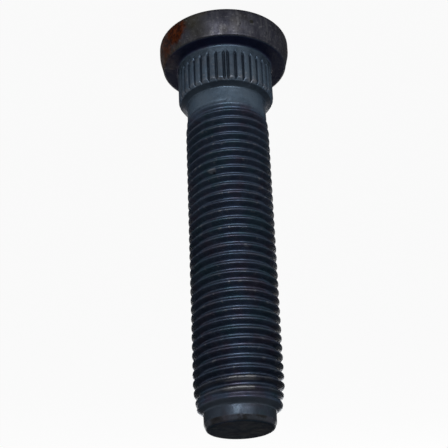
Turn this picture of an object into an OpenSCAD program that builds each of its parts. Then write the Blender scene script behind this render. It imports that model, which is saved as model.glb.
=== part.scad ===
/* [Head] */
// Largest width of the head, just below its outer face
head_d = 22; // [19:0.1:26]
// Height of the head from outer face to seat
head_h = 5.4; // [3.5:0.1:8]
// Height at which the head's straight side begins to taper
side_end = 2.8; // [1:0.1:5]
// Width of the head at its seat edge
seat_d = 21; // [18:0.1:24]
// Rounding between outer face and side of the head
head_edge_r = 1.3; // [0.3:0.1:2]
// Rounding between side and seat of the head
seat_edge_r = 0.5; // [0.1:0.1:1.5]

/* [Collar] */
// Width of the collar over its ridges
collar_d = 15.9; // [14:0.05:18]
// Width of the plain band between seat and ridges, before the rolling raised the ridges
band_d = 15.84; // [14:0.02:18]
// Height at which the band ends and the raised ridges begin
band_end = 6.9; // [6:0.1:8]
// Height at which the ridges begin to slope away
collar_end = 11.7; // [9:0.1:16]
// Hollow rounding between seat and collar
seat_fillet_r = 0.4; // [0.1:0.1:1]
// Height at which the grooves reach their full depth
groove_start = 7.2; // [6.4:0.1:9]
// Depth of one groove below the ridges
groove_depth = 0.4; // [0.2:0.02:0.9]
// Opening angle of one groove in degrees
groove_angle = 60; // [50:5:110]
// Number of evenly spaced grooves, beside the three closer ones in front
groove_count = 34; // [24:1:44]
// Slope at the free ends of the ridges, measured inwards
ridge_slope = 0.34; // [0.1:0.02:1]

/* [Neck] */
// Width of the plain neck, equal to the blank before threading
neck_d = 13.12; // [12:0.02:14]
// Height at which the step between collar and neck ends
neck_start = 12.8; // [12:0.1:16]
// Height at which the neck ends and the thread begins
neck_end = 15.2; // [14:0.1:20]

/* [Thread] */
// Outer width of the thread
thread_d = 13.76; // [13.7:0.01:14]
// Distance from one turn to the next
thread_pitch = 1.5; // [1:0.05:2]
// Height of the thread form from root to crest
thread_depth = 0.86; // [0.5:0.01:1]
// Height at which the thread has its full form
thread_full = 18; // [16:0.1:24]
// Height at which the crests begin to fall off again
thread_fade = 62.1; // [50:0.1:70]
// Height at which the roots begin to rise towards the tip
root_fade = 62.6; // [50:0.1:70]
// Height of one crest on the viewer's side, to place the turns
thread_phase = 17.35; // [15:0.05:20]

/* [Tip] */
// Height at which the bevel of the tip begins
bevel_start = 65.1; // [55:0.1:75]
// Width of the thread where the bevel begins
bevel_d = 12.7; // [12:0.1:14]
// Height at which the bevel ends and the pilot begins
pilot_start = 65.8; // [56:0.1:76]
// Width of the plain pilot at the tip
pilot_d = 10.9; // [9:0.1:12]
// Height at which the pilot begins to narrow towards its edge
pilot_end = 67; // [57:0.1:79]
// Width of the pilot where its edge begins to round off
pilot_edge_d = 10.5; // [8:0.02:12]
// Rounding of the pilot's edge
pilot_edge_r = 0.6; // [0.2:0.1:1.5]
// Overall length from the head's outer face to the tip
length = 68.4; // [60:0.1:80]

/* [Hidden] */
head_r = head_d / 2;
seat_r = seat_d / 2;
collar_r = collar_d / 2;
band_r = band_d / 2;
neck_r = neck_d / 2;
crest_r = thread_d / 2;
bevel_r = bevel_d / 2;
pilot_r = pilot_d / 2;
pilot_edge = pilot_edge_d / 2;
steel = [0.16, 0.19, 0.24];

// the ridges rise from the band and slope away again over these heights
ridge_rise_h = 0.1;
ridge_slope_h = 0.5;

// the step down to the neck ends in a small hollow of this size
step_foot = 0.14;

// a groove's cutting wedge stands this far out of the collar, and climbs out over this height
wedge_out = 0.3;
wedge_climb = 1;
front_grooves = [0.6, -4.2, -13.5];
side_first = -23;
side_last = -350;

// the thread's core is sunk this much into the neck and into the pilot
neck_gap = 0.03;
pilot_gap = 0.25;

// it begins this far below the neck's end, ends this far below the tip, and the pilot reaches into it
core_reach = 2.2;
tip_cover = 0.5;
pilot_reach = 2;
turn_steps = 24;
crest_share = 0.14;
root_share = 0.2;

// half section of the head: radius along x, height along y
module head_section() {
  flat_r = head_r - head_edge_r;
  rim_r = seat_r - seat_edge_r;
  polygon([
    [0, 0],
    [flat_r, 0],
    [flat_r, head_edge_r],
    [head_r, head_edge_r],
    [head_r, side_end],
    [seat_r, head_h - seat_edge_r],
    [rim_r, head_h - seat_edge_r],
    [rim_r, head_h],
    [0, head_h]
  ]);
  translate([flat_r, head_edge_r]) circle(r = head_edge_r, $fn = 48);
  translate([rim_r, head_h - seat_edge_r]) circle(r = seat_edge_r, $fn = 32);
}

// half section of collar and neck
module stem_section() {
  fillet_r = band_r + seat_fillet_r;
  fillet_top = head_h + seat_fillet_r;
  slope_end = collar_end + ridge_slope_h;
  difference() {
    polygon([
      [0, head_h / 2],
      [fillet_r, head_h / 2],
      [fillet_r, fillet_top],
      [band_r, fillet_top],
      [band_r, band_end],
      [collar_r, band_end + ridge_rise_h],
      [collar_r, collar_end],
      [collar_r - ridge_slope, slope_end],
      [neck_r + step_foot, neck_start - step_foot],
      [neck_r, neck_start],
      [neck_r, neck_end],
      [0, neck_end]
    ]);
    translate([fillet_r, fillet_top]) circle(r = seat_fillet_r, $fn = 32);
  }
}

// half section of the pilot
module pilot_section() {
  face_r = pilot_edge - pilot_edge_r;
  edge_z = length - pilot_edge_r;
  polygon([
    [0, pilot_start - pilot_reach],
    [pilot_r, pilot_start - pilot_reach],
    [pilot_r, pilot_end],
    [pilot_edge, edge_z],
    [face_r, edge_z],
    [face_r, length],
    [0, length]
  ]);
  translate([face_r, edge_z]) circle(r = pilot_edge_r, $fn = 40);
}

// wedge that cuts one straight groove and climbs out of the collar towards the head
module groove() {
  deep = collar_r - groove_depth;
  out = collar_r + wedge_out;
  half = (groove_depth + wedge_out) * tan(groove_angle / 2);
  polyhedron(
    points = [
      [deep, 0, groove_start],
      [out, -half, groove_start - wedge_climb / 2],
      [out, half, groove_start - wedge_climb / 2],
      [out, 0, groove_start - wedge_climb],
      [deep, 0, neck_start],
      [out, -half, neck_start],
      [out, half, neck_start]
    ],
    faces = [
      [0, 1, 3], [0, 3, 2], [3, 1, 2],
      [1, 5, 6, 2], [0, 4, 5, 1], [0, 2, 6, 4],
      [4, 6, 5]
    ]
  );
}

side_step = (side_last - side_first) / (groove_count - 1);
side_grooves = [for (i = [0 : groove_count - 1]) side_first + i * side_step];
groove_angles = concat(front_grooves, side_grooves);

// head, collar and neck, turned as one, with the grooves cut in
module head_end() {
  difference() {
    rotate_extrude($fn = 96) {
      head_section();
      stem_section();
    }
    for (a = groove_angles) rotate([0, 0, a - 90]) groove();
  }
}

core_r = neck_r - neck_gap;
root_r = crest_r - thread_depth;

// value that goes from a to b while z goes from low to high
function blend(z, low, high, a, b) = a + (b - a) * min(1, max(0, (z - low) / (high - low)));

// radius of the crests and of the roots at a height
function crest_at(z) =
  z < thread_full ? blend(z, neck_end, thread_full, core_r, crest_r) :
  blend(z, thread_fade, bevel_start, crest_r, bevel_r);
function root_at(z) =
  z < thread_full ? blend(z, neck_end, thread_full, core_r, root_r) :
  blend(z, root_fade, bevel_start, root_r, bevel_r);

// the corners of the thread form within one turn: two on the crest, two in the root
corner_share = [
  -crest_share / 2,
  crest_share / 2,
  (1 - root_share) / 2,
  (1 + root_share) / 2
];
first_turn = floor((neck_end - core_reach - thread_phase) / thread_pitch);
last_turn = floor((length - tip_cover - thread_phase) / thread_pitch - corner_share[3]);
last = (last_turn - first_turn) * turn_steps;

function corner_z(k, j) = thread_phase + thread_pitch * (first_turn + k / turn_steps + corner_share[j]);
function corner(k, j) =
  let (z = corner_z(k, j), r = j < 2 ? crest_at(z) : root_at(z), a = 360 * k / turn_steps - 90)
  [r * cos(a), r * sin(a), z];

// one rectangle of the skin, as two triangles between four corners in order
function patch(a, b, c, d) = [[a, b, c], [a, c, d]];

// right-hand thread with its core, one closed skin that follows the turns
module thread_body() {
  n = turn_steps;
  low = 4 * (last + 1);
  high = low + 1;
  corners = [for (k = [0 : last]) for (j = [0 : 3]) corner(k, j)];
  ends = [
    [0, 0, corner_z(0, 0) + thread_pitch / 2],
    [0, 0, corner_z(last, 3) - thread_pitch / 2]
  ];
  form = [
    for (k = [0 : last - 1]) for (j = [0 : 2])
      each patch(4 * k + j, 4 * k + j + 1, 4 * k + j + 5, 4 * k + j + 4)
  ];
  seam = [
    for (k = [0 : last - n - 1])
      each patch(4 * k + 3, 4 * (k + n), 4 * (k + n) + 4, 4 * k + 7)
  ];
  foot = [for (k = [0 : n - 1]) [low, 4 * k, 4 * k + 4]];
  foot_step = [[low, 4 * n, 3], [low, 3, 2], [low, 2, 1], [low, 1, 0]];
  top = [for (k = [last - n : last - 1]) [high, 4 * k + 7, 4 * k + 3]];
  top_step = [
    [high, 4 * (last - n) + 3, 4 * last],
    [high, 4 * last, 4 * last + 1],
    [high, 4 * last + 1, 4 * last + 2],
    [high, 4 * last + 2, 4 * last + 3]
  ];
  polyhedron(
    points = concat(corners, ends),
    faces = concat(form, seam, foot, foot_step, top, top_step)
  );
}

// half section of the room inside the tip's bevel, which is carried on outwards past the crests
// and inwards to the thread's core within the pilot
module bevel_section() {
  slope = (pilot_start - bevel_start) / (bevel_r - pilot_r);
  wide = crest_r + 1;
  tail = pilot_r - pilot_gap;
  polygon([
    [0, head_h],
    [wide, head_h],
    [wide, bevel_start - (wide - bevel_r) * slope],
    [tail, pilot_start + pilot_gap * slope],
    [tail, length],
    [0, length]
  ]);
}

module wheel_stud() {
  color(steel) {
    head_end();
    intersection() {
      thread_body();
      rotate_extrude($fn = 96) bevel_section();
    }
    rotate_extrude($fn = 96) pilot_section();
  }
}

wheel_stud();
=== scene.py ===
"""Looks of a press-in wheel stud that stands on its head: one steel piece whose threaded skin follows the turns."""
import bpy
import math
import numpy as np
from mathutils import Matrix, Vector


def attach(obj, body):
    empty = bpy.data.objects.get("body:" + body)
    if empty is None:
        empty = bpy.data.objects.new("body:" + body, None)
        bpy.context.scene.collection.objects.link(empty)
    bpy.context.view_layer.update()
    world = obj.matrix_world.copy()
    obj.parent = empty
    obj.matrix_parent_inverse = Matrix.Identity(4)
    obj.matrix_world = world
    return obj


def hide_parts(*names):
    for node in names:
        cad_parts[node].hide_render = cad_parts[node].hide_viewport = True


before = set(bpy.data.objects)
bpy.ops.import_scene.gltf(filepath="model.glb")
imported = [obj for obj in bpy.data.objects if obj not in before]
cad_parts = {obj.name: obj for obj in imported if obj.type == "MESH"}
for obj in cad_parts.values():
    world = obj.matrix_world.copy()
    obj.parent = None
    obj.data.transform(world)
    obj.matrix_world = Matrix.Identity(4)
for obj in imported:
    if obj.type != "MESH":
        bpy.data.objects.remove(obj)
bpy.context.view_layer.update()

MM = 0.001
TURN = 2 * math.pi

# ---- sizes in millimetres, as in the part's source; heights run from the head's outer face to the tip

HEAD_R, HEAD_H, SEAT_R, SIDE_END = 10.992, 5.4, 10.5, 2.8
HEAD_EDGE, SEAT_EDGE, SEAT_HOLLOW = 1.3, 0.5, 0.4
COLLAR_R, BAND_R, BAND_END, BAND_RISE, COLLAR_END = 7.95, 7.92, 6.9, 0.1, 11.7
GROOVE_START, GROOVE_DEPTH, GROOVE_CLIMB = 7.05, 0.4, 0.62
GROOVE_HALF = math.radians(30)
RIDGE_SLOPE, RIDGE_SLOPE_H = 0.34, 0.5
NECK_R, NECK_START, NECK_END = 6.56, 12.8, 15.2
CREST_R, ROOT_R, PITCH = 6.88, 6.02, 1.5
THREAD_FULL, THREAD_FADE, ROOT_FADE, THREAD_PHASE = 18.0, 62.1, 64.0, 17.35
BEVEL_START, BEVEL_R = 65.2, 6.40
PILOT_START, PILOT_R, PILOT_END, PILOT_END_R = 65.82, 5.45, 67.45, 5.42
EDGE_SLOPE, PILOT_EDGE, LENGTH = math.radians(20), 0.5, 68.4

# how softly two surfaces meet, in millimetres either side of the corner between them, and a groove's round bottom
SIDE_SOFT, RIDGE_END_SOFT, PILOT_SOFT = 0.4, 0.08, 0.05
GROOVE_LIP, GROOVE_BOTTOM = 0.03, 0.05
BEVEL_ROUND, BEVEL_HOLLOW = 0.08, 0.16

# the thread's form within one turn, as shares of the pitch, and of its slope for the rounding
CREST_HALF, ROOT_EDGE, CORNER_SOFT = 0.07, 0.40, 0.13
FORM_STEPS = np.array([-0.5, -0.44, -0.395, -0.33, -0.22, -0.12, -0.08, -0.045,
                       0.0, 0.045, 0.08, 0.12, 0.22, 0.33, 0.395, 0.44])

# the threaded strip: columns in a turn, and heights between which its rows start
TURN_COLUMNS = 120
SKIN_FOOT, SKIN_TOP = 14.34, 66.02
# the rows past the strip: they level out in these shares of the way up to a height, and two level ones follow
LEVEL_Z, LEVEL_SHARES = 67.64, np.array([0.35, 0.65, 0.80, 0.87, 0.91, 0.95, 1.0])
LEVEL_ROWS = [67.76, 67.92]

# angles of the grooves in degrees: three seen at the front, the others even between the two seen at the sides
FRONT_GROOVES = [0.6, -4.2, -13.5]
SIDE_GROOVES = np.linspace(-23, -350, 34)
# the columns beside a groove: degrees from its middle, and the most of the half way to the next groove
COLUMN_ANGLES, COLUMN_SHARES = [0, 0.5, 1.1, 1.7, 2.5], [0, 0.22, 0.42, 0.62, 0.8]

# heights of the rows on the head's side, band and ridges, and the step's rounded section as (radius, height)
SIDE_ROWS = np.array([1.7, 2.1, 2.5, 2.8, 3.1, 3.5, 3.9, 4.3, 4.65])
BAND_ROWS = np.array([5.95, 6.15, 6.35, 6.5, 6.6, 6.7, 6.8, 6.9, 7.0, 7.1, 7.2, 7.4])
RIDGE_ROWS = np.concatenate([np.linspace(7.9, 11.4, 8), [11.58, 11.66, 11.74, 11.84, 11.96, 12.08, 12.18]])
STEP = np.array([[7.6, 12.21], [7.55, 12.25], [7.44, 12.3], [7.2, 12.41], [6.95, 12.54], [6.78, 12.63],
                 [6.68, 12.69], [6.61, 12.76], [6.57, 12.84], [NECK_R, 12.95], [NECK_R, 13.2]])
NECK = np.array([[NECK_R, 13.35], [NECK_R, 14.1]])

# unevenness of the head's side: depth, stretch along the stud, most waves, seed; and where it fades in and stops
UNEVEN_DEPTH, UNEVEN_STRETCH, UNEVEN_WAVES, UNEVEN_SEED = 0.03, 0.9, 6, 11
UNEVEN_START, UNEVEN_FADE, UNEVEN_END = 1.0, 1.5, 5.2

# where the finish counts the surface as a ridge, and as a groove's bed that gets painted shade, with its share and
# half width
RIDGE_MARK, RIDGE_MARK_FADE = (6.9, 12.3), (0.2, 0.3)
BED_SHARE, BED_HALF, BED_SOFT = 0.8, 0.27, 0.18
BED, BED_FADE = (6.3, 12.2), (0.3, 0.2)

# nicks on crests and tip: angle in degrees, height, half length round the stud, half width along it, depth
NICKS = [
    (9.1, 23.3, 0.35, 0.22, 0.16), (21.7, 28.1, 0.30, 0.22, 0.14), (-16.2, 41.4, 0.5, 0.2, 0.12),
    (-39.8, 43.8, 0.4, 0.2, 0.12), (-5, 42.6, 0.3, 0.2, 0.10), (31, 35.2, 0.3, 0.2, 0.12),
    (-28, 54.3, 0.35, 0.2, 0.10), (62, 30.5, 0.5, 0.25, 0.15), (118, 24.8, 0.4, 0.25, 0.15),
    (151, 47.9, 0.5, 0.25, 0.16), (196, 36.1, 0.4, 0.22, 0.14), (233, 57.0, 0.45, 0.25, 0.15),
    (287, 40.2, 0.35, 0.22, 0.13), (39.9, 67.9, 0.5, 0.35, 0.16), (31.9, 67.1, 0.35, 0.3, 0.14),
    (-6.1, 67.3, 0.16, 0.12, 0.05), (14, 67.2, 0.2, 0.14, 0.05),
]


# ---- plain shapes


def swing(radius, angle, height):
    """Points at a radius, an angle and a height: x = r sin a, y = -r cos a, so angle 0 faces -Y and grows to +X."""
    radius, angle, height = np.broadcast_arrays(radius, angle, height)
    return np.stack([radius * np.sin(angle), -radius * np.cos(angle), height], -1)


def arc(centre, radius, start, end, steps):
    """Profile points on a circle round centre, from start to end in degrees, first and last included."""
    a = np.radians(np.linspace(start, end, steps))
    return np.stack([centre[0] + radius * np.cos(a), centre[1] + radius * np.sin(a)], -1)


def soft_step(x):
    """0 below 0, 1 above 1, and 3x^2 - 2x^3 between."""
    x = np.clip(x, 0, 1)
    return x * x * (3 - 2 * x)


def soft_ramp(x, soft):
    """x above soft, 0 below -soft, and the parabola (x + soft)^2 / 4 soft between them."""
    return np.where(x > soft, x, np.where(x < -soft, 0, (x + soft) ** 2 / (4 * soft)))


def soft_band(x, ends, fades):
    """0 outside the two ends, 1 inside, with a soft step as long as its fade at either end."""
    return soft_step((x - ends[0]) / fades[0]) * soft_step((ends[1] - x) / fades[1])


def waves(x, y, seed, most, count=7, lift=1.6):
    """Smooth unevenness, mostly from -1 to 1: the mean of count sines with seeded directions, whole numbers of waves
    round x, times lift."""
    dice = np.random.default_rng(seed)
    total = 0
    for _ in range(count):
        around = dice.integers(-most, most + 1)
        along = dice.uniform(1.0, most) * dice.choice([-1, 1])
        total = total + np.sin(around * x + along * y + dice.uniform(0, TURN))
    return total / count * lift


def grid_faces(rows, columns):
    """Faces of a closed sleeve: rows of points, the last column joined to the first."""
    i, j = np.meshgrid(np.arange(rows - 1), np.arange(columns), indexing="ij")
    k = (j + 1) % columns
    low, high = i * columns, (i + 1) * columns
    return np.stack([low + j, low + k, high + k, high + j], -1).reshape(-1, 4)


def zip_faces(low, low_angle, high, high_angle):
    """Triangles between two closed rings of different point counts: the next point of either ring goes by angle."""
    low_next, high_next = np.roll(low, -1), np.roll(high, -1)
    order = np.concatenate([np.append(low_angle[1:], TURN), np.append(high_angle[1:], TURN + 1e-6)])
    is_low = np.concatenate([np.ones(len(low), bool), np.zeros(len(high), bool)])
    is_low = is_low[np.argsort(order, kind="stable")]
    at_low = np.cumsum(is_low) - is_low
    at_high = np.cumsum(~is_low) - ~is_low
    a, b = at_low % len(low), at_high % len(high)
    return np.where(is_low[:, None],
                    np.stack([low[a], low_next[a], high[b]], -1),
                    np.stack([low[a], high_next[b], high[b]], -1))


# ---- thread and tip


def pilot_radius(height):
    """Radius of the plain pilot: nearly straight, then a cone at EDGE_SLOPE that its rounded edge takes up."""
    straight = np.interp(height, [PILOT_START, PILOT_END], [PILOT_R, PILOT_END_R])
    return straight - math.tan(EDGE_SLOPE) * soft_ramp(height - PILOT_END, PILOT_SOFT)


def thread_radius(angle, height):
    """Radius of the thread: root + (crest - root) x form, the form a trapezoid with rounded corners over the distance
    to the nearest crest, which climbs one pitch in a turn. Crest and root both start at the neck and meet again at
    the tip, where the bevel, which ends in a small hollow on the pilot, cuts off what stands out of it."""
    share = (height - THREAD_PHASE) / PITCH - angle / TURN
    share = np.abs((share + 0.5) % 1 - 0.5)
    slope = (ROOT_EDGE - share) / (ROOT_EDGE - CREST_HALF)
    form = soft_ramp(slope, CORNER_SOFT) - soft_ramp(slope - 1, CORNER_SOFT)
    crest = np.interp(height, [NECK_END, THREAD_FULL, THREAD_FADE, BEVEL_START], [NECK_R, CREST_R, CREST_R, BEVEL_R])
    root = np.interp(height, [NECK_END, THREAD_FULL, ROOT_FADE, BEVEL_START], [NECK_R, ROOT_R, ROOT_R, BEVEL_R])
    pilot = pilot_radius(height)
    fall = (BEVEL_R - PILOT_R) / (PILOT_START - BEVEL_START)
    bevel = pilot + soft_ramp(BEVEL_R + fall * (BEVEL_START - height) - pilot, BEVEL_HOLLOW)
    radius = root + (crest - root) * form
    radius = radius - soft_ramp(radius - bevel, BEVEL_ROUND)
    depth = (crest - root) / (CREST_R - ROOT_R) * (height < PILOT_START)
    return radius, form, depth


def nicked(radius, angle, height):
    """The radius less a soft dent at each nick: depth x exp(-(round / length)^2 - (along / width)^2)."""
    for at, level, length, width, depth in NICKS:
        around = (angle - math.radians(at) + math.pi) % TURN - math.pi
        radius = radius - depth * np.exp(-(around * radius / length) ** 2 - ((height - level) / width) ** 2)
    return radius


def tip_profile():
    """Half section of the pilot's rounded edge, which touches the cone, and of the end face to near its middle."""
    edge_z = LENGTH - PILOT_EDGE
    touch = edge_z + PILOT_EDGE * math.sin(EDGE_SLOPE)
    face_r = pilot_radius(touch) - PILOT_EDGE * math.cos(EDGE_SLOPE)
    edge = arc((face_r, edge_z), PILOT_EDGE, math.degrees(EDGE_SLOPE), 90, 10)
    face = np.stack([np.linspace(face_r - 0.3, 0.8, 6), np.full(6, LENGTH)], -1)
    return np.concatenate([edge, face])


# ---- head, collar and neck


def head_profile():
    """Half section from near the outer face's middle to the neck, as (radius, height) rows: flat face, rounded edge,
    a side that turns softly into its taper, rounded lip, flat seat, hollow, band, ridge with sloped end, and step."""
    flat = HEAD_R - HEAD_EDGE
    rim = SEAT_R - SEAT_EDGE
    lip_z = HEAD_H - SEAT_EDGE
    taper = (HEAD_R - SEAT_R) / (lip_z - SIDE_END)
    seat_r = np.linspace(rim, BAND_R + SEAT_HOLLOW, 5)[1:-1]
    band_r = np.interp(BAND_ROWS, [BAND_END, BAND_END + BAND_RISE], [BAND_R, COLLAR_R])
    ridge_r = COLLAR_R - RIDGE_SLOPE / RIDGE_SLOPE_H * soft_ramp(RIDGE_ROWS - COLLAR_END, RIDGE_END_SOFT)
    return np.concatenate([
        np.stack([np.linspace(2.4, flat - 0.5, 4), np.zeros(4)], -1),
        arc((flat, HEAD_EDGE), HEAD_EDGE, -90, 0, 10),
        np.stack([HEAD_R - taper * soft_ramp(SIDE_ROWS - SIDE_END, SIDE_SOFT), SIDE_ROWS], -1),
        arc((rim, lip_z), SEAT_EDGE, 0, 90, 8),
        np.stack([seat_r, np.full_like(seat_r, HEAD_H)], -1),
        arc((BAND_R + SEAT_HOLLOW, HEAD_H + SEAT_HOLLOW), SEAT_HOLLOW, 270, 180, 6),
        np.stack([band_r, BAND_ROWS], -1),
        np.stack([ridge_r, RIDGE_ROWS], -1),
        STEP])


def groove_columns():
    """Angles of the head's columns: ten from each groove's middle to the next, close together on the groove's sides
    and closer still between two near grooves; and the grooves' middles."""
    middles = np.sort(np.radians(np.concatenate([FRONT_GROOVES, SIDE_GROOVES])) % TURN)
    half = (np.append(middles[1:], middles[0] + TURN) - middles)[:, None] / 2
    near = np.minimum(np.radians(COLUMN_ANGLES), half * COLUMN_SHARES)
    columns = np.concatenate([middles[:, None] + near, middles[:, None] + half,
                              middles[:, None] + 2 * half - near[:, :0:-1]], axis=1).ravel()
    return np.sort(columns % TURN), middles


def grooved(radius, angle, height, middles):
    """The radius less the rolled grooves, and how much each point lies in one. Each groove is a V of constant opening
    that runs out towards the head and runs on through the ridges' free ends: its floor is the lower of the turned
    surface and the V's two sides."""
    around = np.min(np.abs((angle[None] - middles[:, None, None] + math.pi) % TURN - math.pi), axis=0) * radius
    deep = GROOVE_DEPTH * np.clip((height - GROOVE_START + GROOVE_CLIMB) / GROOVE_CLIMB, 0, 1)
    opening = math.tan(GROOVE_HALF)
    floor = COLLAR_R - deep + np.sqrt(around ** 2 + GROOVE_BOTTOM ** 2) / opening - GROOVE_BOTTOM / opening
    cut = soft_ramp(radius - floor, GROOVE_LIP)
    open_here = (height > BED[0]) & (height < NECK_START) & (deep > 0)
    # the bed widens the groove's mark over its floor, for the painted shade in the grooves
    bed = BED_SHARE * soft_step((BED_HALF - around) / BED_SOFT) * soft_band(height, BED, BED_FADE)
    mark = np.maximum(soft_step(cut / (GROOVE_DEPTH * 0.5)), bed)
    return np.where(open_here, radius - cut, radius), np.where(open_here, mark, 0)


# ---- the stud's skin


def stud_skin():
    """One closed skin. The head end is its profile turned on close columns with the grooves taken out; the threaded
    length is a strip that follows the turns, one pitch wide, each turn welded to the next; the tip is turned again.
    Returns points, a list of face arrays, and how much each point is a crest and a hollow, from 0 to 1."""
    points, faces, crests, hollows = [], [], [], []

    def add(pts, crest=0.0, hollow=0.0):
        """Adds a block of points and gives the number of its first."""
        first = sum(len(p) for p in points)
        points.append(pts.reshape(-1, 3))
        crests.append(np.broadcast_to(crest, pts.shape[:-1]).ravel())
        hollows.append(np.broadcast_to(hollow, pts.shape[:-1]).ravel())
        return first

    # head end
    columns, middles = groove_columns()
    n = len(columns)
    head = head_profile()
    angle, radius = np.meshgrid(columns, head[:, 0])
    height = np.broadcast_to(head[:, 1:], radius.shape)
    radius, cut = grooved(radius, angle, height, middles)
    side = soft_step((height - UNEVEN_START) / UNEVEN_FADE) * (height < UNEVEN_END)
    uneven = waves(angle, height * UNEVEN_STRETCH, UNEVEN_SEED, UNEVEN_WAVES)
    radius = radius - np.abs(UNEVEN_DEPTH * uneven * side)
    ridge = soft_band(height, RIDGE_MARK, RIDGE_MARK_FADE)
    pole = add(np.zeros((1, 3)))
    first = add(swing(radius, angle, height), ridge * (1 - cut), cut)
    ring = first + np.arange(n)
    faces.append(np.stack([np.full(n, pole), np.roll(ring, -1), ring], -1))
    faces.append(grid_faces(len(head), n) + first)
    head_top = first + (len(head) - 1) * n + np.arange(n)

    # neck, on the thread's columns
    m = TURN_COLUMNS
    around = np.arange(m) * TURN / m
    angle, radius = np.meshgrid(around, NECK[:, 0])
    first = add(swing(radius, angle, NECK[:, 1:]))
    faces.append(zip_faces(head_top, columns, first + np.arange(m), around))
    faces.append(grid_faces(len(NECK), m) + first)
    neck = first + (len(NECK) - 1) * m + np.arange(m)

    # threaded strip: row i, column j stands at the height of its share of the pitch plus j / columns of a turn
    k = len(FORM_STEPS)
    low_turn = math.floor((SKIN_FOOT - THREAD_PHASE) / PITCH)
    high_turn = math.ceil((SKIN_TOP - THREAD_PHASE) / PITCH)
    levels = (np.arange(low_turn, high_turn + 1)[:, None] + FORM_STEPS[None]).ravel()
    start = THREAD_PHASE + PITCH * levels
    levels = levels[(start >= SKIN_FOOT) & (start <= SKIN_TOP)]
    last = len(levels) - 1
    angle, level = np.meshgrid(around, levels)
    height = THREAD_PHASE + PITCH * (level + angle / TURN)
    radius, form, depth = thread_radius(angle, height)
    radius = nicked(radius, angle, height)
    strip = add(swing(radius, angle, height), form * depth, (1 - form) * depth)
    i, j = np.meshgrid(np.arange(last), np.arange(m - 1), indexing="ij")
    low = strip + i * m + j
    faces.append(np.stack([low, low + 1, low + m + 1, low + m], -1).reshape(-1, 4))
    # a turn's last column joins the first column of the turn above it
    low = strip + np.arange(last - k) * m
    faces.append(np.stack([low + m - 1, low + k * m, low + (k + 1) * m, low + 2 * m - 1], -1))

    # foot of the strip: neck ring to the first row, and a fan over the step of one pitch
    row = strip + np.arange(m)
    step = strip + np.arange(k + 1) * m
    faces.append(np.stack([neck[:-1], neck[1:], row[1:], row[:-1]], -1))
    faces.append(np.stack([np.full(k, neck[-1]), step[:-1], step[1:]], -1))
    faces.append(np.array([[neck[-1], neck[0], step[0]], [neck[-1], step[-1], row[-1]]]))

    # tip: rows that level out from the strip's last one, then the cone's end, its rounded edge and the end face
    tip = tip_profile()
    level_z = height[-1] + (LEVEL_Z - height[-1]) * LEVEL_SHARES[:, None]
    level_z = np.concatenate([level_z, np.tile(np.array(LEVEL_ROWS)[:, None], m)])
    radius = np.concatenate([pilot_radius(level_z), np.repeat(tip[:, :1], m, axis=1)])
    height = np.concatenate([level_z, np.repeat(tip[:, 1:], m, axis=1)])
    angle = np.broadcast_to(around, radius.shape)
    first = add(swing(nicked(radius, angle, height), angle, height))
    ring = first + np.arange(m)
    row = strip + last * m + np.arange(m)
    step = strip + (last - np.arange(k + 1)) * m + m - 1
    faces.append(np.stack([row[:-1], row[1:], ring[1:], ring[:-1]], -1))
    faces.append(np.stack([np.full(k, row[0]), step[:-1], step[1:]], -1))
    faces.append(np.array([[row[0], ring[0], ring[-1]], [row[0], ring[-1], row[-1]]]))
    faces.append(grid_faces(len(radius), m) + first)
    end = add(np.array([[0.0, 0.0, LENGTH]]))
    ring = first + (len(radius) - 1) * m + np.arange(m)
    faces.append(np.stack([ring, np.roll(ring, -1), np.full(m, end)], -1))
    return np.concatenate(points), faces, np.concatenate(crests), np.concatenate(hollows)


def skin_mesh(name, points, faces, **marks):
    """Mesh from points in millimetres and face arrays, smooth, with one named number per point for the finish."""
    corners = np.concatenate([f.ravel() for f in faces])
    sizes = np.concatenate([np.full(len(f), f.shape[1]) for f in faces])
    mesh = bpy.data.meshes.new(name)
    mesh.vertices.add(len(points))
    mesh.vertices.foreach_set("co", (points * MM).astype(np.float32).ravel())
    mesh.loops.add(len(corners))
    mesh.loops.foreach_set("vertex_index", corners.astype(np.int32))
    mesh.polygons.add(len(sizes))
    mesh.polygons.foreach_set("loop_start", (np.cumsum(sizes) - sizes).astype(np.int32))
    mesh.polygons.foreach_set("use_smooth", np.ones(len(sizes), bool))
    for mark, value in marks.items():
        mesh.attributes.new(mark, "FLOAT", "POINT").data.foreach_set("value", value.astype(np.float32))
    mesh.update(calc_edges=True)
    mesh.validate()
    return mesh


# ---- finish: colours as red, green, blue and alpha

THREAD_DEEP, THREAD_PALE = (0.037, 0.051, 0.082, 1), (0.054, 0.074, 0.114, 1)
TEAL_CAST, VIOLET_CAST = (0.033, 0.063, 0.086, 1), (0.056, 0.051, 0.077, 1)
COLLAR_DEEP, COLLAR_PALE = (0.078, 0.112, 0.155, 1), (0.112, 0.152, 0.200, 1)
PALE_GRAIN, DARK_GRAIN = (0.110, 0.125, 0.145, 1), (0.020, 0.025, 0.034, 1)
WORN_CREST, BRIGHT_SPECK = (0.150, 0.150, 0.155, 1), (0.190, 0.200, 0.220, 1)
# a bright scrape, and a near-black painted shadow under the scar's raised lip
SCRAPED, SCAR_SHADOW = (0.165, 0.180, 0.210, 1), (0.004, 0.004, 0.005, 1)
RUBBED_END = (0.200, 0.190, 0.195, 1)
# a brownish edge colour lighter than the skin, partly wear and partly painted light; and dirt
EDGE_WEAR_AND_LIGHT, EDGE_DIRT = (0.070, 0.066, 0.070, 1), (0.020, 0.018, 0.016, 1)
FACE_GREY, PILOT_GREY = (0.095, 0.095, 0.105, 1), (0.040, 0.047, 0.054, 1)
# painted light on the bevel, painted shade on the step, and a seat darker and bluer, partly as painted shade
BEVEL_PAINTED_LIGHT, STEP_SHADE, SEAT_BLUE_SHADE = (0.100, 0.125, 0.160, 1), (0.030, 0.042, 0.060, 1), (0.026, 0.026, 0.076, 1)
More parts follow.
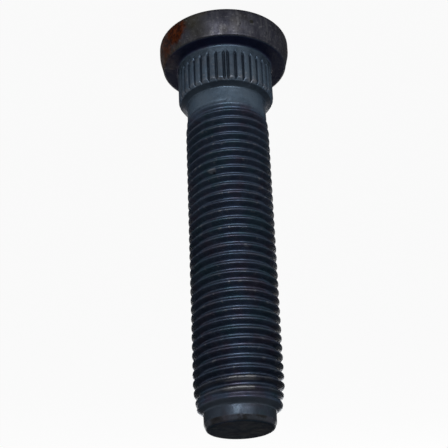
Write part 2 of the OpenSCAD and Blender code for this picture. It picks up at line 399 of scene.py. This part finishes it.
# brown wear on the scuffed turns, and a painted highlight on them at the front
SCUFF_BROWN, SCUFF_HIGHLIGHT = (0.085, 0.076, 0.072, 1), (0.185, 0.190, 0.200, 1)
# painted shade: a darker colour for the front ridges, and the grooves' dark colour
FRONT_RIDGE_SHADE, GROOVE_SHADE = (0.018, 0.026, 0.038, 1), (0.012, 0.017, 0.028, 1)
RIM_DEEP, RIM_PALE = (0.030, 0.029, 0.030, 1), (0.084, 0.084, 0.089, 1)
RIM_OLIVE, RIM_BLUE = (0.060, 0.053, 0.036, 1), (0.046, 0.048, 0.074, 1)
RIM_SPECK, RIM_STREAK = (0.140, 0.140, 0.150, 1), (0.120, 0.120, 0.130, 1)
# the first colour serves a real pit and a smudge that is partly painted shade
RIM_PIT_AND_SHADE, RIM_PITTED = (0.020, 0.020, 0.014, 1), (0.012, 0.011, 0.012, 1)
RUST_DEEP, RUST_BRIGHT = (0.012, 0.002, 0.0005, 1), (0.085, 0.019, 0.003, 1)
CLEAR_SHINE = (0.08, 0.10, 0.13, 1)

# zones along the stud: heights in millimetres where each begins, is full, is still full and ends
COLLAR_ZONE, RUBBED_ZONE, STEP_ZONE = (5.5, 5.9, 15.3, 16.6), (11.1, 11.7, 12.0, 12.3), (12.1, 12.3, 12.85, 13.05)
SIDE_ZONE, SEAT_ZONE = (0.0, 0.5, 5.22, 5.39), (5.33, 5.39, 5.42, 5.6)
SCUFF_ZONE, BEVEL_ZONE = (61.6, 62.0, 65.0, 65.4), (65.1, 65.3, 65.8, 66.0)
PILOT_ZONE, EDGE_ZONE = (65.7, 65.9, 67.35, 67.5), (67.35, 67.5, 68.15, 68.35)
# the end face: heights where it begins and is full
FACE_BEGINS, FACE_FULL = 68.36, 68.39
# along the ridges: height of their middle, and how far from it their tone is full and ends
# the second set is where the front ridges get painted shade
RIDGES_DARKER, SHADED_RIDGES = (9.6, 2.4, 3.2), (9.9, 2.4, 3.0)
# across the front, for the painted shade on the ridges and the painted highlight on the scuffs: x of the middle,
# how far from it a tone is full and ends, and the y where the front is full
SHADED_FRONT, SCUFF_HIGHLIGHT_FRONT, FRONT_Y = (0.0, 1.5, 3.0), (-0.45, 1.6, 3.2), -4
# how much the rim's tint leans to one side, for a metre of x
TINT_LEAN = 28.0

# spots: angle in degrees, radius and height of the middle, reach, softness and raggedness of the rim in
# millimetres, and the scale of the noise that stirs it
SCRAPE_SPOT = (23.8, 6.7, 27.95, 0.66, 0.2, 0.8, 1500.0)
# the second spot is where the painted shadow under the scar lies
SCAR_SHADOW_SPOT = (22.4, 6.15, 28.15, 0.32, 0.12, 0.3, 1500.0)
EDGE_SMEAR = (42.0, 5.3, 67.8, 1.3, 0.5, 2.2, 900.0)
# a smudge that is partly a dark patch and partly painted shade beside the rim's lit middle
RIM_SMUDGE_AND_SHADE_SPOT = (22.0, 10.7, 3.6, 1.7, 1.3, 3.0, 700.0)
RIM_PIT_SPOT = (-25.8, 10.95, 2.6, 0.32, 0.15, 0.3, 900.0)
RUST_PATCH = (47.0, 10.8, 2.3, 2.2, 0.6, 3.2, 600.0)
RUST_TAIL = (63.0, 10.8, 3.2, 2.2, 0.8, 4.5, 520.0)
RUST_STAIN = (72.0, 10.8, 2.4, 3.6, 1.4, 5.0, 420.0)
RUST_FAR = (-84.0, 10.7, 2.6, 0.8, 0.3, 1.5, 900.0)


class Finish:
    """Nodes of a material or a world, put together with short words. Every step gives the socket of its result."""

    def __init__(self, owner):
        self.owner = owner
        owner.use_nodes = True
        self.tree = owner.node_tree
        self.tree.nodes.clear()

    def node(self, kind, settings=(), **inputs):
        """A node with its settings and inputs: _0 is the first input, other names are the sockets' own."""
        made = self.tree.nodes.new(kind)
        for key, value in dict(settings).items():
            setattr(made, key, value)
        for key, value in inputs.items():
            self.put(made.inputs[int(key[1:])] if key[0] == "_" else made.inputs[key.replace("_", " ")], value)
        return made

    def put(self, slot, value):
        """Links a socket to slot, or sets a plain value on it."""
        if isinstance(value, bpy.types.NodeSocket):
            self.tree.links.new(value, slot)
        else:
            slot.default_value = value

    def math(self, operation, a, b=0.0, clamp=False):
        """One piece of arithmetic on one or two numbers."""
        return self.node("ShaderNodeMath", {"operation": operation, "use_clamp": clamp}, _0=a, _1=b).outputs[0]

    def times(self, a, b):
        """a times b."""
        return self.math("MULTIPLY", a, b)

    def between(self, value, low, high, start=0.0, end=1.0):
        """start below low, end above high, smooth between."""
        return self.node("ShaderNodeMapRange", {"interpolation_type": "SMOOTHSTEP"},
                         _0=value, _1=low, _2=high, _3=start, _4=end).outputs[0]

    def zone(self, value, ends):
        """0 outside the outer two of four ends, 1 inside the inner two, smooth between."""
        return self.times(self.between(value, ends[0], ends[1]), self.between(value, ends[2], ends[3], 1.0, 0.0))

    def noise(self, place, scale, detail=4.0, rough=0.55, stretch=None):
        """Cloudy noise about 0.5, drawn out along an axis whose stretch is below 1."""
        if stretch:
            place = self.node("ShaderNodeMapping", Vector=place, Scale=stretch).outputs[0]
        return self.node("ShaderNodeTexNoise", Vector=place, Scale=scale, Detail=detail, Roughness=rough).outputs[0]

    def blend(self, share, a, b):
        """a where share is 0, b where it is 1."""
        return self.node("ShaderNodeMix", {"data_type": "RGBA", "clamp_factor": True}, _0=share, _6=a, _7=b).outputs[2]

    def mark(self, name):
        """The number that each point of the mesh carries under a name."""
        return self.node("ShaderNodeAttribute", {"attribute_name": name}).outputs["Fac"]

    def spot(self, place, spot):
        """1 inside a ragged spot round a point of the stud's surface, 0 outside: distance to it, stirred by a noise."""
        angle, radius, height, reach, soft, ragged, scale = spot
        a = math.radians(angle)
        centre = (radius * math.sin(a) * MM, -radius * math.cos(a) * MM, height * MM)
        gap = self.node("ShaderNodeVectorMath", {"operation": "DISTANCE"}, _0=place, _1=centre).outputs["Value"]
        stir = self.times(self.math("SUBTRACT", self.noise(place, scale, 5.0, 0.65), 0.5), ragged * MM)
        return self.between(self.math("ADD", gap, stir), (reach - soft) * MM, (reach + soft) * MM, 1.0, 0.0)

    def front(self, axes, reach):
        """1 near the front's middle, 0 beside it and at the back: reach gives the x of the middle, and how far from
        it the 1 and the fading end, in millimetres."""
        middle, full, end = reach
        off = self.times(self.math("ABSOLUTE", self.math("SUBTRACT", axes[0], middle * MM)), 1 / MM)
        return self.times(self.between(off, full, end, 1.0, 0.0), self.between(axes[1], FRONT_Y * MM, 0.0, 1.0, 0.0))

    def off_middle(self, height, reach, start, end):
        """start near a middle height, end far from it: reach gives the height, and how far from it either begins."""
        middle, near, far = reach
        gap = self.math("ABSOLUTE", self.math("SUBTRACT", height, middle))
        return self.between(gap, near, far, start, end)


def skin_tones(f, place, height, cloud, fine):
    """Cloudy blue-black with teal and violet casts on thread and tip, a clearer blue-grey on collar and neck, and a
    pale and a dark grain over all of it."""
    skin = f.blend(f.between(cloud, 0.35, 0.68), THREAD_DEEP, THREAD_PALE)
    hue = f.noise(place, 260.0, 4.0, 0.6)
    skin = f.blend(f.between(hue, 0.50, 0.65, 0.0, 0.75), skin, TEAL_CAST)
    skin = f.blend(f.between(hue, 0.35, 0.49, 0.75, 0.0), skin, VIOLET_CAST)
    clear = f.blend(f.between(cloud, 0.35, 0.68), COLLAR_DEEP, COLLAR_PALE)
    plain = f.times(f.zone(height, COLLAR_ZONE), f.off_middle(height, RIDGES_DARKER, 0.75, 1.0))
    skin = f.blend(plain, skin, clear)
    skin = f.blend(f.between(fine, 0.50, 0.74, 0.0, 0.35), skin, PALE_GRAIN)
    return f.blend(f.between(fine, 0.30, 0.46, 0.45, 0.0), skin, DARK_GRAIN)


def crest_wear_and_scar_shadow(f, skin, place, crest):
    """Crests and ridges worn to pale spots here and there, and the thread's largest scar: scraped bright, with a
    painted shadow under its raised lip."""
    worn = f.times(f.between(crest, 0.80, 1.0), f.between(f.noise(place, 320.0, 5.0, 0.65), 0.46, 0.64))
    skin = f.blend(f.times(worn, 0.20), skin, WORN_CREST)
    specks = f.times(f.between(crest, 0.45, 0.9), f.between(f.noise(place, 1150.0, 3.0, 0.6), 0.60, 0.67))
    skin = f.blend(f.times(specks, 0.45), skin, BRIGHT_SPECK)
    skin = f.blend(f.times(f.spot(place, SCRAPE_SPOT), 0.75), skin, SCRAPED)
    # painted shadow under the scar's raised lip
    return f.blend(f.times(f.spot(place, SCAR_SHADOW_SPOT), 0.9), skin, SCAR_SHADOW)


def end_tones(f, skin, place, axes, height, crest):
    """The ridges' free ends rubbed bright, the pilot's edge brownish and lighter, partly wear and partly painted light,
    and smeared with dirt, the end face cloudy, a greyer pilot, a bevel paler as painted light, a step darker as
    painted shade, a darker, bluer seat that is partly painted shade, and the last turns scuffed where a nut started,
    brighter at the front as a painted highlight."""
    ends = f.times(f.zone(height, RUBBED_ZONE), f.between(f.noise(place, 700.0, 3.0, 0.6), 0.46, 0.60))
    skin = f.blend(f.times(ends, 0.35), skin, RUBBED_END)
    edge = f.zone(height, EDGE_ZONE)
    # the edge band: partly brownish wear, partly painted light against the dark it reflects
    skin = f.blend(f.times(edge, 0.6), skin, EDGE_WEAR_AND_LIGHT)
    dirt = f.math("MAXIMUM", f.between(f.noise(place, 330.0, 5.0, 0.7), 0.48, 0.58), f.spot(place, EDGE_SMEAR))
    skin = f.blend(f.times(f.times(edge, dirt), 0.7), skin, EDGE_DIRT)
    face = f.between(height, FACE_BEGINS, FACE_FULL)
    face = f.times(face, f.between(f.noise(place, 210.0, 3.0, 0.6), 0.46, 0.62))
    skin = f.blend(f.times(face, 0.6), skin, FACE_GREY)
    skin = f.blend(f.times(f.zone(height, PILOT_ZONE), 0.55), skin, PILOT_GREY)
    # painted light: the bevel paler
    skin = f.blend(f.times(f.zone(height, BEVEL_ZONE), 0.8), skin, BEVEL_PAINTED_LIGHT)
    # painted shade: the step darker
    skin = f.blend(f.times(f.zone(height, STEP_ZONE), 0.45), skin, STEP_SHADE)
    # the seat darker and bluer: partly its tone, partly painted shade
    skin = f.blend(f.times(f.zone(height, SEAT_ZONE), 0.7), skin, SEAT_BLUE_SHADE)
    scuff = f.times(f.zone(height, SCUFF_ZONE), f.between(f.noise(place, 300.0, 6.0, 0.7), 0.40, 0.52))
    scuff = f.times(scuff, f.between(crest, 0.20, 0.6))
    skin = f.blend(f.times(scuff, 0.35), skin, SCUFF_BROWN)
    # painted highlight: the scuffed crests bright at the front
    return f.blend(f.times(scuff, f.front(axes, SCUFF_HIGHLIGHT_FRONT)), skin, SCUFF_HIGHLIGHT)


def groove_tones(f, skin, axes, height, hollow):
    """Painted shade: ridges darker at the front, and the grooves between ridges dark, less so at the front."""
    # painted shade: ridges darker at the front
    front = f.times(f.front(axes, SHADED_FRONT), f.off_middle(height, SHADED_RIDGES, 1.0, 0.0))
    skin = f.blend(f.times(front, 0.34), skin, FRONT_RIDGE_SHADE)
    # painted shade in the grooves, lighter at the front
    groove = f.times(hollow, f.between(height, 13.0, 14.0, 1.0, 0.0))
    groove = f.times(groove, f.math("SUBTRACT", 1.0, f.times(front, 0.35)))
    return f.blend(f.times(groove, 0.80), skin, GROOVE_SHADE)


def rim_tones(f, place, axes):
    """The head's side: mottled grey, olive towards the rust and bluer away from it, with specks, streaks along the
    stud, a dark smudge that is partly a real patch and partly painted shade beside the lit middle, one pit and dark
    pitting."""
    mottle = f.noise(place, 520.0, 7.0, 0.72, (1.0, 1.0, 0.55))
    rim = f.blend(f.between(mottle, 0.38, 0.64), RIM_DEEP, RIM_PALE)
    tint = f.math("SUBTRACT", f.noise(place, 160.0, 3.0, 0.5), f.times(axes[0], TINT_LEAN))
    rim = f.blend(0.5, rim, f.blend(f.between(tint, 0.28, 0.52), RIM_OLIVE, RIM_BLUE))
    rim = f.blend(f.between(f.noise(place, 2100.0, 3.0, 0.6), 0.56, 0.68, 0.0, 0.55), rim, RIM_SPECK)
    streaks = f.noise(place, 1500.0, 3.0, 0.6, (1.0, 1.0, 0.12))
    rim = f.blend(f.between(streaks, 0.54, 0.66, 0.0, 0.4), rim, RIM_STREAK)
    # a smudge that is partly a dark patch and partly painted shade; the pit is real
    smudge_and_shade = f.times(f.spot(place, RIM_SMUDGE_AND_SHADE_SPOT), 0.38)
    pit = f.times(f.spot(place, RIM_PIT_SPOT), 0.8)
    rim = f.blend(f.math("MAXIMUM", smudge_and_shade, pit), rim, RIM_PIT_AND_SHADE)
    return f.blend(f.between(f.noise(place, 900.0, 4.0, 0.7), 0.30, 0.40, 0.6, 0.0), rim, RIM_PITTED)


def rust_share(f, place):
    """Where rust lies on the rim: a patch with a tail, a thinner stain beside it, and a small spot far from them."""
    patch = f.math("MAXIMUM", f.spot(place, RUST_PATCH), f.times(f.spot(place, RUST_TAIL), 0.85))
    stain = f.times(f.spot(place, RUST_STAIN), 0.7)
    return f.math("MAXIMUM", patch, f.math("MAXIMUM", stain, f.spot(place, RUST_FAR)))


def dark_steel():
    """Blued steel: a blue-black skin, clearer on collar and neck, worn on crests and ridges, a mottled grey rim,
    red-brown rust at one side of the head, and scuffed turns. Painted shade darkens the grooves, the step, the
    front ridges, and partly the seat and a smudge on the rim. Painted light pales the bevel and partly the pilot's
    edge. A painted highlight brightens the scuffed turns at the front, and a painted shadow lies under the thread's
    largest scar. Rust is rough and no metal."""
    f = Finish(bpy.data.materials.new("dark_blued_steel"))
    place = f.node("ShaderNodeTexCoord").outputs["Object"]
    axes = f.node("ShaderNodeSeparateXYZ", Vector=place).outputs
    height = f.times(axes[2], 1 / MM)
    crest, hollow = f.mark("crest"), f.mark("hollow")
    cloud = f.noise(place, 180.0, 5.0, 0.6)
    fine = f.noise(place, 1500.0, 6.0, 0.7)
    drawn = f.noise(place, 500.0, 4.0, 0.6, (1.0, 1.0, 0.15))
    grain = f.noise(place, 1300.0, 5.0, 0.7)
    patchy = f.noise(place, 800.0, 5.0, 0.65)

    skin = skin_tones(f, place, height, cloud, fine)
    skin = crest_wear_and_scar_shadow(f, skin, place, crest)
    skin = end_tones(f, skin, place, axes, height, crest)
    skin = groove_tones(f, skin, axes, height, hollow)
    skin = f.blend(f.zone(height, SIDE_ZONE), skin, rim_tones(f, place, axes))
    rust = rust_share(f, place)
    skin = f.blend(rust, skin, f.blend(f.between(grain, 0.38, 0.66), RUST_DEEP, RUST_BRIGHT))

    rough = f.math("ADD", f.between(patchy, 0.36, 0.64, 0.32, 0.54), f.times(rust, 0.4), clamp=True)
    bare = f.times(f.math("SUBTRACT", 1.0, rust), 0.75)
    relief = f.math("ADD", f.times(fine, 0.5), f.times(drawn, 0.5))
    relief = f.math("ADD", relief, f.times(patchy, 1.2))
    relief = f.math("ADD", relief, f.times(f.times(rust, grain), 2.0))
    bump = f.node("ShaderNodeBump", Strength=0.35, Distance=0.08 * MM, Height=relief).outputs[0]
    shader = f.node("ShaderNodeBsdfPrincipled", Base_Color=skin, Metallic=bare, Roughness=rough, Normal=bump)
    shader.inputs["Specular IOR Level"].default_value = 0.4
    shader.inputs["Specular Tint"].default_value = CLEAR_SHINE
    f.node("ShaderNodeOutputMaterial", Surface=shader.outputs[0])
    return f.owner


# ---- the piece

points, faces, crests, hollows = stud_skin()
stud = bpy.data.objects.new("stud", skin_mesh("stud", points, faces, crest=crests, hollow=hollows))
bpy.context.scene.collection.objects.link(stud)
stud.data.materials.append(dark_steel())
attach(stud, "root")
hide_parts("wheel_stud")

# ---- floor, light and camera

FLOOR_HALF = 1.6
# how much of the floor is its own glow, to the eye and in reflections
FLOOR_SEEN, FLOOR_MIRRORED = 0.94, 0.28
# how bright the world's ceiling and side walls are, and how much higher the white wall reaches to the eye
CEILING, SIDE_WALL, EYE_LIFT = 0.11, 0.35, 0.2
# where the white wall fades out, as the z of a direction, and the side walls in, as its x to either side
WALL_FADE, SIDE_FADE = (0.02, 0.30), (0.45, 0.95)
FLOOR_GREY, WHITE = (0.8, 0.8, 0.8, 1), (1, 1, 1, 1)


def studio_floor():
    """Pale floor that shows near white and keeps the stud's shadow: part of it is its own glow, to the eye more than
    to reflections, which mostly show the floor as it is lit."""
    f = Finish(bpy.data.materials.new("pale_floor"))
    path = f.node("ShaderNodeLightPath").outputs
    mirrored = f.math("MAXIMUM", path["Is Glossy Ray"], path["Is Transmission Ray"])
    seen = f.math("MAXIMUM", f.times(path["Is Camera Ray"], FLOOR_SEEN), f.times(mirrored, FLOOR_MIRRORED))
    plain = f.node("ShaderNodeBsdfDiffuse", Color=FLOOR_GREY).outputs[0]
    glow = f.node("ShaderNodeEmission", Color=WHITE, Strength=1.0).outputs[0]
    mixed = f.node("ShaderNodeMixShader", _0=seen, _1=plain, _2=glow).outputs[0]
    f.node("ShaderNodeOutputMaterial", Surface=mixed)
    return f.owner


def studio_world():
    """White wall round the horizon, which reaches higher to the eye than in reflections, a dark ceiling above it, and
    half-bright walls up both sides."""
    f = Finish(bpy.data.worlds.new("studio"))
    way = f.node("ShaderNodeTexCoord").outputs["Generated"]
    axes = f.node("ShaderNodeSeparateXYZ", Vector=way).outputs
    to_eye = f.node("ShaderNodeLightPath").outputs["Is Camera Ray"]
    rise = f.between(f.math("SUBTRACT", axes[2], f.times(to_eye, EYE_LIFT)), *WALL_FADE, 1.0, CEILING)
    wall = f.between(f.math("ABSOLUTE", axes[0]), *SIDE_FADE, 0.0, SIDE_WALL)
    sky = f.node("ShaderNodeBackground", Color=f.math("MAXIMUM", rise, wall), Strength=1.0)
    f.node("ShaderNodeOutputWorld", Surface=sky.outputs[0])
    return f.owner


def soft_lamp(name, place, aim, width, depth, power):
    """A rectangular white lamp at place, in millimetres, that faces aim and isn't seen itself."""
    lamp = bpy.data.lights.new(name, "AREA")
    lamp.shape, lamp.size, lamp.size_y = "RECTANGLE", width * MM, depth * MM
    lamp.energy = power
    thing = bpy.data.objects.new(name, lamp)
    bpy.context.scene.collection.objects.link(thing)
    place, aim = Vector(place) * MM, Vector(aim) * MM
    thing.location = place
    thing.rotation_euler = (aim - place).to_track_quat("-Z", "Y").to_euler()
    thing.visible_camera = False


def photo_camera():
    """The photograph's view, worked out from the turns' spacing and the ellipses of head and tip. The eye stands
    beyond the tip and hangs upside down, so the head is at the top of the picture."""
    eye = Vector((0, -164.40, 114.22)) * MM
    right = Vector((-0.99897801, 0.02540157, 0.03738582))
    up = Vector((-0.0447202, -0.43541359, -0.89911908))
    ahead = Vector((0.00656075, 0.89987208, -0.43610456))
    focal_pixels, picture_pixels, sensor = 1141.451, 448, 36
    data = bpy.data.cameras.new("photo_view")
    data.sensor_fit, data.sensor_width = "HORIZONTAL", sensor
    data.lens = focal_pixels / picture_pixels * sensor
    data.clip_start, data.clip_end = 0.005, 20
    camera = bpy.data.objects.new("photo_view", data)
    bpy.context.scene.collection.objects.link(camera)
    camera.matrix_world = Matrix((
        (right.x, up.x, -ahead.x, eye.x),
        (right.y, up.y, -ahead.y, eye.y),
        (right.z, up.z, -ahead.z, eye.z),
        (0, 0, 0, 1)))
    return camera


floor_mesh = bpy.data.meshes.new("floor")
floor_mesh.from_pydata([(-FLOOR_HALF, -FLOOR_HALF, 0), (FLOOR_HALF, -FLOOR_HALF, 0), (FLOOR_HALF, FLOOR_HALF, 0),
                        (-FLOOR_HALF, FLOOR_HALF, 0)], [], [(0, 1, 2, 3)])
floor = bpy.data.objects.new("floor", floor_mesh)
bpy.context.scene.collection.objects.link(floor)
floor.data.materials.append(studio_floor())

soft_lamp("key", (-15, -160, 16), (0, 0, 34), 150, 28, 0.176)
soft_lamp("back", (0, 380, 30), (0, 0, 34), 400, 55, 0.85)
bpy.context.scene.world = studio_world()
bpy.context.scene.camera = photo_camera()
bpy.context.scene.view_settings.view_transform = "Standard"
